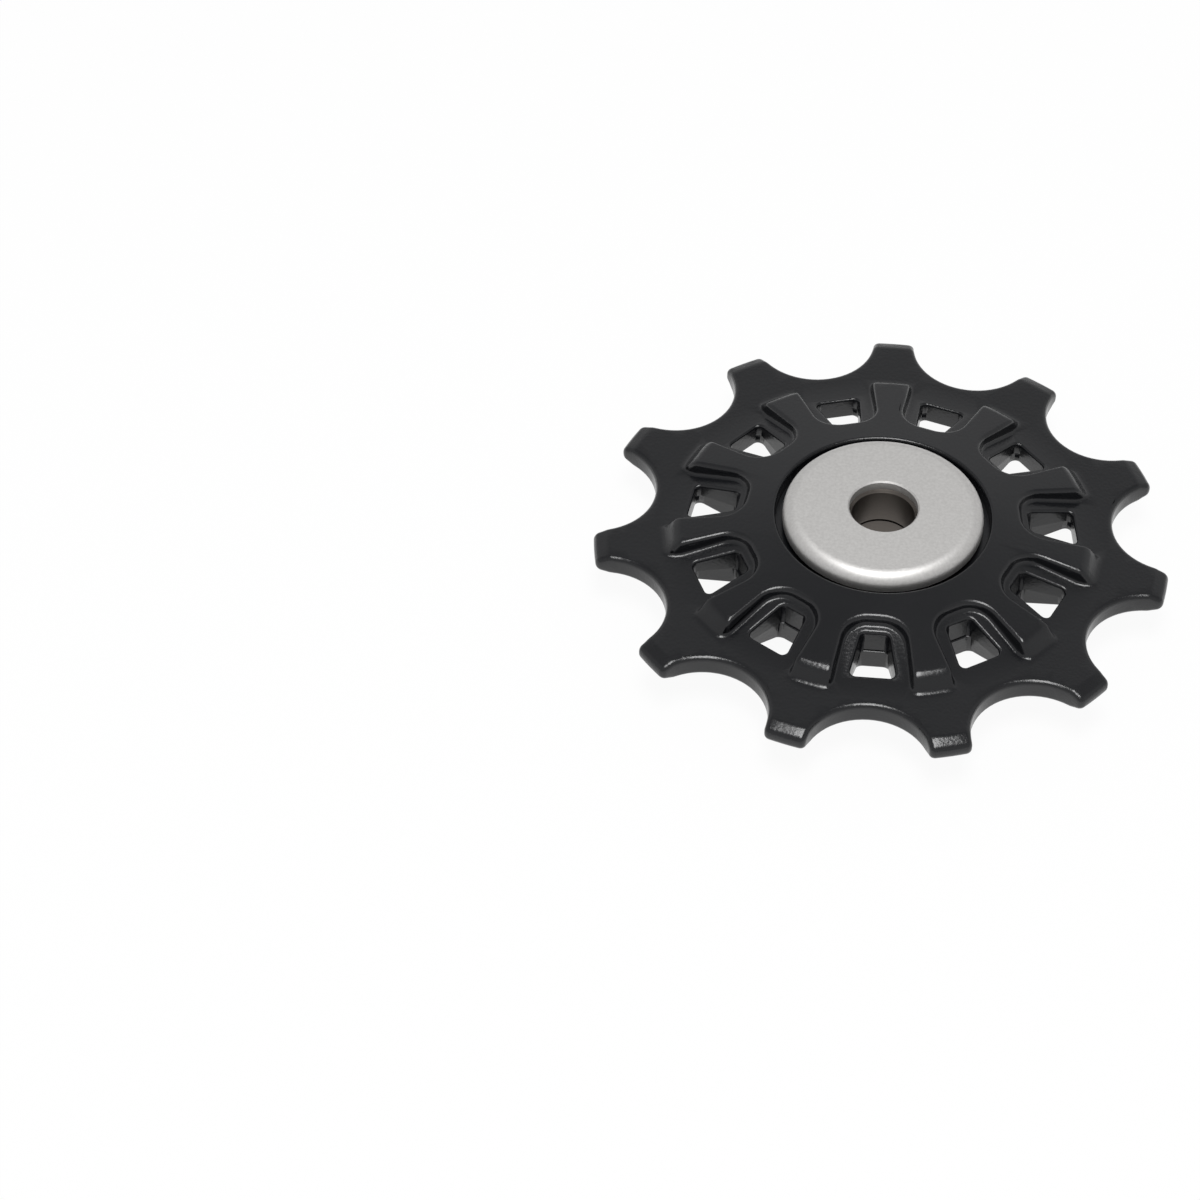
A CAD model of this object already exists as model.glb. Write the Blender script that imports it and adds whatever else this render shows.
import math

import bmesh
import bpy
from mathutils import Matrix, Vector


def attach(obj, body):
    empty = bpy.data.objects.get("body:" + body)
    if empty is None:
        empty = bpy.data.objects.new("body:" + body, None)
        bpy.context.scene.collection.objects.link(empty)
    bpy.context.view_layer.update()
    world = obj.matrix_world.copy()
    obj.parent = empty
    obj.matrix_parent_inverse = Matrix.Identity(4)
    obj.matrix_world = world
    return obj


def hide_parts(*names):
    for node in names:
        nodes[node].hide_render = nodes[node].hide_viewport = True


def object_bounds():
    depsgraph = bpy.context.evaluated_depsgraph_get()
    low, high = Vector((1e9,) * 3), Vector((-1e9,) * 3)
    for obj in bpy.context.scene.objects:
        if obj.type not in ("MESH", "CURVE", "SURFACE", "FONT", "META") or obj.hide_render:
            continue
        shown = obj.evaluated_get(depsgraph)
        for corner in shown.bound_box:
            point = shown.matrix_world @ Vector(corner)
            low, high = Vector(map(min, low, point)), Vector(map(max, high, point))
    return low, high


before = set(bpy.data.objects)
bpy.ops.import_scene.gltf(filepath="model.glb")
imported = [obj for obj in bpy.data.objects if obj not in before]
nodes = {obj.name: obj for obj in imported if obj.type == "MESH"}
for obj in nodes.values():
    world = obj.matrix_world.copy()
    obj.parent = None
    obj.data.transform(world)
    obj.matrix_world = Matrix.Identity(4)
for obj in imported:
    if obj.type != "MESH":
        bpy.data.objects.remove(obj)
cad_low, cad_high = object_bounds()

# Bearing rings: hardened steel, ground all over and polished in the ball tracks.
# The inner ring is clamped between the bushes and the outer ring is pressed into the pulley.
steel = bpy.data.materials.new("bearing_steel")
steel.use_nodes = True
tree = steel.node_tree
shader = tree.nodes["Principled BSDF"]
shader.inputs["Base Color"].default_value = (0.53, 0.53, 0.54, 1)
shader.inputs["Metallic"].default_value = 1
place = tree.nodes.new("ShaderNodeTexCoord")
grinding = tree.nodes.new("ShaderNodeTexWave")
grinding.wave_type = "RINGS"
grinding.rings_direction = "Z"
grinding.inputs["Scale"].default_value = 2600
grinding.inputs["Distortion"].default_value = 3
grinding.inputs["Detail"].default_value = 2
polish = tree.nodes.new("ShaderNodeMapRange")
polish.inputs["To Min"].default_value = 0.2
polish.inputs["To Max"].default_value = 0.34
lay = tree.nodes.new("ShaderNodeBump")
lay.inputs["Strength"].default_value = 0.12
lay.inputs["Distance"].default_value = 0.00001
tree.links.new(place.outputs["Object"], grinding.inputs["Vector"])
tree.links.new(grinding.outputs["Fac"], polish.inputs["Value"])
tree.links.new(polish.outputs["Result"], shader.inputs["Roughness"])
tree.links.new(grinding.outputs["Fac"], lay.inputs["Height"])
tree.links.new(lay.outputs["Normal"], shader.inputs["Normal"])
for name in ("bearing_inner_ring", "bearing_outer_ring"):
    nodes[name].data.materials.clear()
    nodes[name].data.materials.append(steel)

# Balls: ten lapped steel balls that roll between the rings.
# They are polished bright, with a thin smear of grease.
bright = bpy.data.materials.new("ball_steel")
bright.use_nodes = True
tree = bright.node_tree
shader = tree.nodes["Principled BSDF"]
shader.inputs["Base Color"].default_value = (0.7, 0.7, 0.72, 1)
shader.inputs["Metallic"].default_value = 1
place = tree.nodes.new("ShaderNodeTexCoord")
grease = tree.nodes.new("ShaderNodeTexNoise")
grease.inputs["Scale"].default_value = 900
smear = tree.nodes.new("ShaderNodeMapRange")
smear.inputs["From Min"].default_value = 0.35
smear.inputs["From Max"].default_value = 0.65
smear.inputs["To Min"].default_value = 0.06
smear.inputs["To Max"].default_value = 0.2
tree.links.new(place.outputs["Object"], grease.inputs["Vector"])
tree.links.new(grease.outputs["Fac"], smear.inputs["Value"])
tree.links.new(smear.outputs["Result"], shader.inputs["Roughness"])
for name, node in nodes.items():
    if name.startswith("bearing_ball_"):
        node.data.materials.clear()
        node.data.materials.append(bright)

# Ball cage: a crown moulded in natural nylon that snaps over the balls and keeps them apart.
# Natural nylon is a cloudy cream, a little uneven in tone.
natural = bpy.data.materials.new("cage_nylon")
natural.use_nodes = True
tree = natural.node_tree
shader = tree.nodes["Principled BSDF"]
shader.inputs["Roughness"].default_value = 0.45
place = tree.nodes.new("ShaderNodeTexCoord")
cloud = tree.nodes.new("ShaderNodeTexNoise")
cloud.inputs["Scale"].default_value = 700
cloud.inputs["Detail"].default_value = 3
cream = tree.nodes.new("ShaderNodeValToRGB")
cream.color_ramp.elements[0].position = 0.3
cream.color_ramp.elements[0].color = (0.46, 0.42, 0.34, 1)
cream.color_ramp.elements[1].position = 0.7
cream.color_ramp.elements[1].color = (0.56, 0.53, 0.45, 1)
tree.links.new(place.outputs["Object"], cloud.inputs["Vector"])
tree.links.new(cloud.outputs["Fac"], cream.inputs["Fac"])
tree.links.new(cream.outputs["Color"], shader.inputs["Base Color"])
nodes["bearing_cage"].data.materials.clear()
nodes["bearing_cage"].data.materials.append(natural)

# Seals: black rubber moulded on a thin steel ring, pressed into steps in the outer ring.
# The skin is matt with a fine pebble from the mould.
rubber = bpy.data.materials.new("seal_rubber")
rubber.use_nodes = True
tree = rubber.node_tree
shader = tree.nodes["Principled BSDF"]
shader.inputs["Base Color"].default_value = (0.014, 0.014, 0.014, 1)
shader.inputs["Roughness"].default_value = 0.7
place = tree.nodes.new("ShaderNodeTexCoord")
pebble = tree.nodes.new("ShaderNodeTexNoise")
pebble.inputs["Scale"].default_value = 6000
skin = tree.nodes.new("ShaderNodeBump")
skin.inputs["Strength"].default_value = 0.3
skin.inputs["Distance"].default_value = 0.00002
tree.links.new(place.outputs["Object"], pebble.inputs["Vector"])
tree.links.new(pebble.outputs["Fac"], skin.inputs["Height"])
tree.links.new(skin.outputs["Normal"], shader.inputs["Normal"])
for name in ("bearing_front_seal", "bearing_rear_seal"):
    nodes[name].data.materials.clear()
    nodes[name].data.materials.append(rubber)

# Pulley wheel: one piece of glass-filled nylon, injection moulded in black with a satin skin.
# The mould rounds every edge: the spokes most, the feet of the pockets and the windows less.
# It is pressed over the bearing's outer ring and carries the chain on its teeth.
mm = 0.001
merge_gap = 0.002 * mm

# The hub and the teeth lie inside and outside these reaches, and the spokes between them.
# The spokes' tops fall toward their ends, and the two halves of the mould part at mid height.
hub_reach = 9.0 * mm
teeth_reach = 17.8 * mm
spoke_top = 2.55 * mm
spoke_top_reach = 13.5 * mm
spoke_top_fall = 0.143
near_top = 0.15 * mm
near_parting = 0.05 * mm

# A face's slope is the upright share of its normal, and an edge's turn is in degrees.
level_slope = 0.999
top_slope = 0.8
wall_slope = 0.3
wall_merge_turn = 9
face_merge_turn = 0.4
tooth_edge_turn = 30
moulded_edge_turn = 36
spoke_end_turn = 60
smooth_turn = 50

# How far each rounding reaches from its edge.
most_round = 0.42 * mm
tooth_round = 0.165 * mm
hub_round = 0.12 * mm
hub_foot_round = 0.05 * mm
parting_round = 0.04 * mm
foot_round = 0.28 * mm
spoke_end_round = 0.42 * mm
spoke_corner_round = 0.39 * mm
spoke_edge_round = 0.35 * mm
window_round = 0.24 * mm

pulley = bpy.data.objects.new("moulded_pulley", nodes["pulley_wheel"].data.copy())
bpy.context.collection.objects.link(pulley)
bpy.ops.object.select_all(action="DESELECT")
bpy.context.view_layer.objects.active = pulley
pulley.select_set(True)
bpy.ops.object.mode_set(mode="EDIT")
bpy.ops.mesh.select_all(action="SELECT")
bpy.ops.mesh.remove_doubles(threshold=merge_gap)
for in_wall, merge_turn in ((True, wall_merge_turn), (False, face_merge_turn)):
    form = bmesh.from_edit_mesh(pulley.data)
    form.normal_update()
    for face in form.faces:
        middle = face.calc_center_median()
        reach = math.hypot(middle.x, middle.y)
        slope = abs(face.normal.z)
        wall = slope < wall_slope and hub_reach < reach < teeth_reach
        face.select_set(slope < level_slope and wall == in_wall)
    bmesh.update_edit_mesh(pulley.data)
    bpy.ops.mesh.dissolve_limited(angle_limit=math.radians(merge_turn))
form = bmesh.from_edit_mesh(pulley.data)
form.normal_update()
rounding = form.edges.layers.float.new("bevel_weight_edge")
for edge in form.edges:
    turn = math.degrees(edge.calc_face_angle(0))
    middle = (edge.verts[0].co + edge.verts[1].co) / 2
    height = abs(middle.z)
    reach = math.hypot(middle.x, middle.y)
    if turn < (tooth_edge_turn if reach > teeth_reach else moulded_edge_turn):
        continue
    top = spoke_top - (reach - spoke_top_reach) * spoke_top_fall
    slope = max(abs(face.normal.z) for face in edge.link_faces)
    if reach > teeth_reach:
        width = tooth_round
    elif reach < hub_reach:
        width = hub_round if edge.is_convex else hub_foot_round
    elif height < near_parting:
        width = parting_round if edge.is_convex else 0
    elif not edge.is_convex:
        width = foot_round
    elif turn < spoke_end_turn:
        width = spoke_end_round
    elif slope < top_slope:
        width = spoke_corner_round
    elif height > top - near_top:
        width = spoke_edge_round
    else:
        width = window_round
    edge[rounding] = width / most_round
bmesh.update_edit_mesh(pulley.data)
bpy.ops.object.mode_set(mode="OBJECT")
bevel = pulley.modifiers.new("rounded_edges", "BEVEL")
bevel.width = most_round
bevel.segments = 3
bevel.limit_method = "WEIGHT"
bevel.loop_slide = False
bevel.use_clamp_overlap = False
bevel.miter_outer = "MITER_ARC"
bpy.ops.object.modifier_apply(modifier=bevel.name)
bpy.ops.object.shade_smooth_by_angle(angle=math.radians(smooth_turn))
even = pulley.modifiers.new("even_shading", "WEIGHTED_NORMAL")
even.keep_sharp = True
bpy.ops.object.modifier_apply(modifier=even.name)

nylon = bpy.data.materials.new("pulley_nylon")
nylon.use_nodes = True
tree = nylon.node_tree
shader = tree.nodes["Principled BSDF"]
shader.inputs["Base Color"].default_value = (0.0055, 0.0059, 0.0073, 1)
shader.inputs["IOR"].default_value = 1.55
place = tree.nodes.new("ShaderNodeTexCoord")
flow = tree.nodes.new("ShaderNodeTexNoise")
flow.inputs["Scale"].default_value = 160
flow.inputs["Detail"].default_value = 3
gloss = tree.nodes.new("ShaderNodeMapRange")
gloss.inputs["To Min"].default_value = 0.2
gloss.inputs["To Max"].default_value = 0.29
grain = tree.nodes.new("ShaderNodeTexNoise")
grain.inputs["Scale"].default_value = 4000
grain.inputs["Detail"].default_value = 2
skin = tree.nodes.new("ShaderNodeBump")
skin.inputs["Strength"].default_value = 0.33
skin.inputs["Distance"].default_value = 0.00005
tree.links.new(place.outputs["Object"], flow.inputs["Vector"])
tree.links.new(place.outputs["Object"], grain.inputs["Vector"])
tree.links.new(flow.outputs["Fac"], gloss.inputs["Value"])
tree.links.new(gloss.outputs["Result"], shader.inputs["Roughness"])
tree.links.new(grain.outputs["Fac"], skin.inputs["Height"])
tree.links.new(skin.outputs["Normal"], shader.inputs["Normal"])
pulley.data.materials.clear()
pulley.data.materials.append(nylon)
nodes["pulley_wheel"].data.materials.clear()
nodes["pulley_wheel"].data.materials.append(nylon)
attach(pulley, "wheel")
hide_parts("pulley_wheel")

# Bushes: turned from steel bar, with a fine tool mark round the bore.
# Their spigots fill the bearing's bore from each side and the axle bolt clamps them through the caps.
turned = bpy.data.materials.new("bush_steel")
turned.use_nodes = True
tree = turned.node_tree
shader = tree.nodes["Principled BSDF"]
shader.inputs["Base Color"].default_value = (0.128, 0.115, 0.104, 1)
shader.inputs["Metallic"].default_value = 1
shader.inputs["Roughness"].default_value = 0.36
place = tree.nodes.new("ShaderNodeTexCoord")
turning = tree.nodes.new("ShaderNodeTexWave")
turning.bands_direction = "Z"
turning.inputs["Scale"].default_value = 1800
turning.inputs["Distortion"].default_value = 0.6
marks = tree.nodes.new("ShaderNodeBump")
marks.inputs["Strength"].default_value = 0.2
marks.inputs["Distance"].default_value = 0.00001
tree.links.new(place.outputs["Object"], turning.inputs["Vector"])
tree.links.new(turning.outputs["Fac"], marks.inputs["Height"])
tree.links.new(marks.outputs["Normal"], shader.inputs["Normal"])
for name in ("front_bush", "rear_bush"):
    nodes[name].data.materials.clear()
    nodes[name].data.materials.append(turned)

# Dust caps: pressed from steel sheet with a rolled edge, then fine blasted to an even satin grey.
# Each one is held between a bush and the cage plate, and turns with neither the chain nor the wheel.
satin = bpy.data.materials.new("cap_steel")
satin.use_nodes = True
tree = satin.node_tree
shader = tree.nodes["Principled BSDF"]
shader.inputs["Metallic"].default_value = 1
place = tree.nodes.new("ShaderNodeTexCoord")
fleck = tree.nodes.new("ShaderNodeTexNoise")
fleck.inputs["Scale"].default_value = 4200
fleck.inputs["Detail"].default_value = 2
tone = tree.nodes.new("ShaderNodeValToRGB")
tone.color_ramp.elements[0].position = 0.3
tone.color_ramp.elements[0].color = (0.68, 0.67, 0.656, 1)
tone.color_ramp.elements[1].position = 0.7
tone.color_ramp.elements[1].color = (0.76, 0.75, 0.737, 1)
blast = tree.nodes.new("ShaderNodeBump")
blast.inputs["Strength"].default_value = 0.2
blast.inputs["Distance"].default_value = 0.00002
shader.inputs["Roughness"].default_value = 0.55
tree.links.new(place.outputs["Object"], fleck.inputs["Vector"])
tree.links.new(fleck.outputs["Fac"], tone.inputs["Fac"])
tree.links.new(tone.outputs["Color"], shader.inputs["Base Color"])
tree.links.new(fleck.outputs["Fac"], blast.inputs["Height"])
tree.links.new(blast.outputs["Normal"], shader.inputs["Normal"])
for name in ("front_cap", "rear_cap"):
    nodes[name].data.materials.clear()
    nodes[name].data.materials.append(satin)

# Floor: a plain white table that the lower cap rests on, kept pale so that only a faint shadow shows.
# The camera and the reflections see it white, and it lights the wheel from below.
floor_width = 3
floor_gap = 0.02 * mm
bpy.ops.object.select_all(action="DESELECT")
bpy.ops.mesh.primitive_plane_add(size=floor_width, location=(0, 0, 0))
floor = bpy.context.object
floor.name = "floor"
bpy.ops.object.mode_set(mode="EDIT")
bpy.ops.transform.translate(value=(0, 0, cad_low.z - floor_gap))
bpy.ops.object.mode_set(mode="OBJECT")
paint = bpy.data.materials.new("floor_white")
paint.use_nodes = True
tree = paint.node_tree
shader = tree.nodes["Principled BSDF"]
shader.inputs["Base Color"].default_value = (0.9, 0.9, 0.9, 1)
shader.inputs["Roughness"].default_value = 0.7
paper = tree.nodes.new("ShaderNodeEmission")
paper.inputs["Color"].default_value = (1, 1, 1, 1)
ray = tree.nodes.new("ShaderNodeLightPath")
seen = tree.nodes.new("ShaderNodeMath")
seen.operation = "MAXIMUM"
shown = tree.nodes.new("ShaderNodeMath")
shown.operation = "MAXIMUM"
share = tree.nodes.new("ShaderNodeMath")
share.operation = "MULTIPLY"
share.inputs[1].default_value = 0.94
pick = tree.nodes.new("ShaderNodeMixShader")
out = tree.nodes["Material Output"]
tree.links.new(ray.outputs["Is Camera Ray"], seen.inputs[0])
tree.links.new(ray.outputs["Is Glossy Ray"], seen.inputs[1])
tree.links.new(seen.outputs["Value"], shown.inputs[0])
tree.links.new(ray.outputs["Is Transmission Ray"], shown.inputs[1])
tree.links.new(shown.outputs["Value"], share.inputs[0])
tree.links.new(share.outputs["Value"], pick.inputs["Fac"])
tree.links.new(shader.outputs["BSDF"], pick.inputs[1])
tree.links.new(paper.outputs["Emission"], pick.inputs[2])
tree.links.new(pick.outputs["Shader"], out.inputs["Surface"])
floor.data.materials.append(paint)

# Studio: a pale room, lightest low down where the white sweep rises behind the table.
world = bpy.data.worlds.new("studio")
bpy.context.scene.world = world
world.use_nodes = True
tree = world.node_tree
room = tree.nodes["Background"]
room.inputs["Color"].default_value = (1, 1, 1, 1)
place = tree.nodes.new("ShaderNodeTexCoord")
split = tree.nodes.new("ShaderNodeSeparateXYZ")
rise = tree.nodes.new("ShaderNodeMapRange")
rise.inputs["From Min"].default_value = 0.6
rise.inputs["From Max"].default_value = 0.9
rise.inputs["To Min"].default_value = 0.54
rise.inputs["To Max"].default_value = 0.2
tree.links.new(place.outputs["Generated"], split.inputs["Vector"])
tree.links.new(split.outputs["Z"], rise.inputs["Value"])
tree.links.new(rise.outputs["Result"], room.inputs["Strength"])

# Light: one soft panel overhead, a little toward the camera, which draws the bright lines on the edges.
top = bpy.data.lights.new("top", "AREA")
top.energy = 1.95
top.shape = "RECTANGLE"
top.size = 0.2
top.size_y = 0.28
top_lamp = bpy.data.objects.new("top", top)
top_lamp.location = (0, -0.115, 0.5)
bpy.context.collection.objects.link(top_lamp)

# Camera: at the photograph's angle, a long lens a third of a metre away.
lens = bpy.data.cameras.new("camera")
lens.lens = 127.81
lens.sensor_width = 36
lens.clip_start = 0.01
camera = bpy.data.objects.new("camera", lens)
camera.location = (-0.00234412, -0.23968211, 0.24380664)
camera.rotation_euler = (0.7604103, -0.0075126, 0.0918828)
bpy.context.collection.objects.link(camera)
bpy.context.scene.camera = camera
bpy.context.scene.view_settings.view_transform = "Standard"
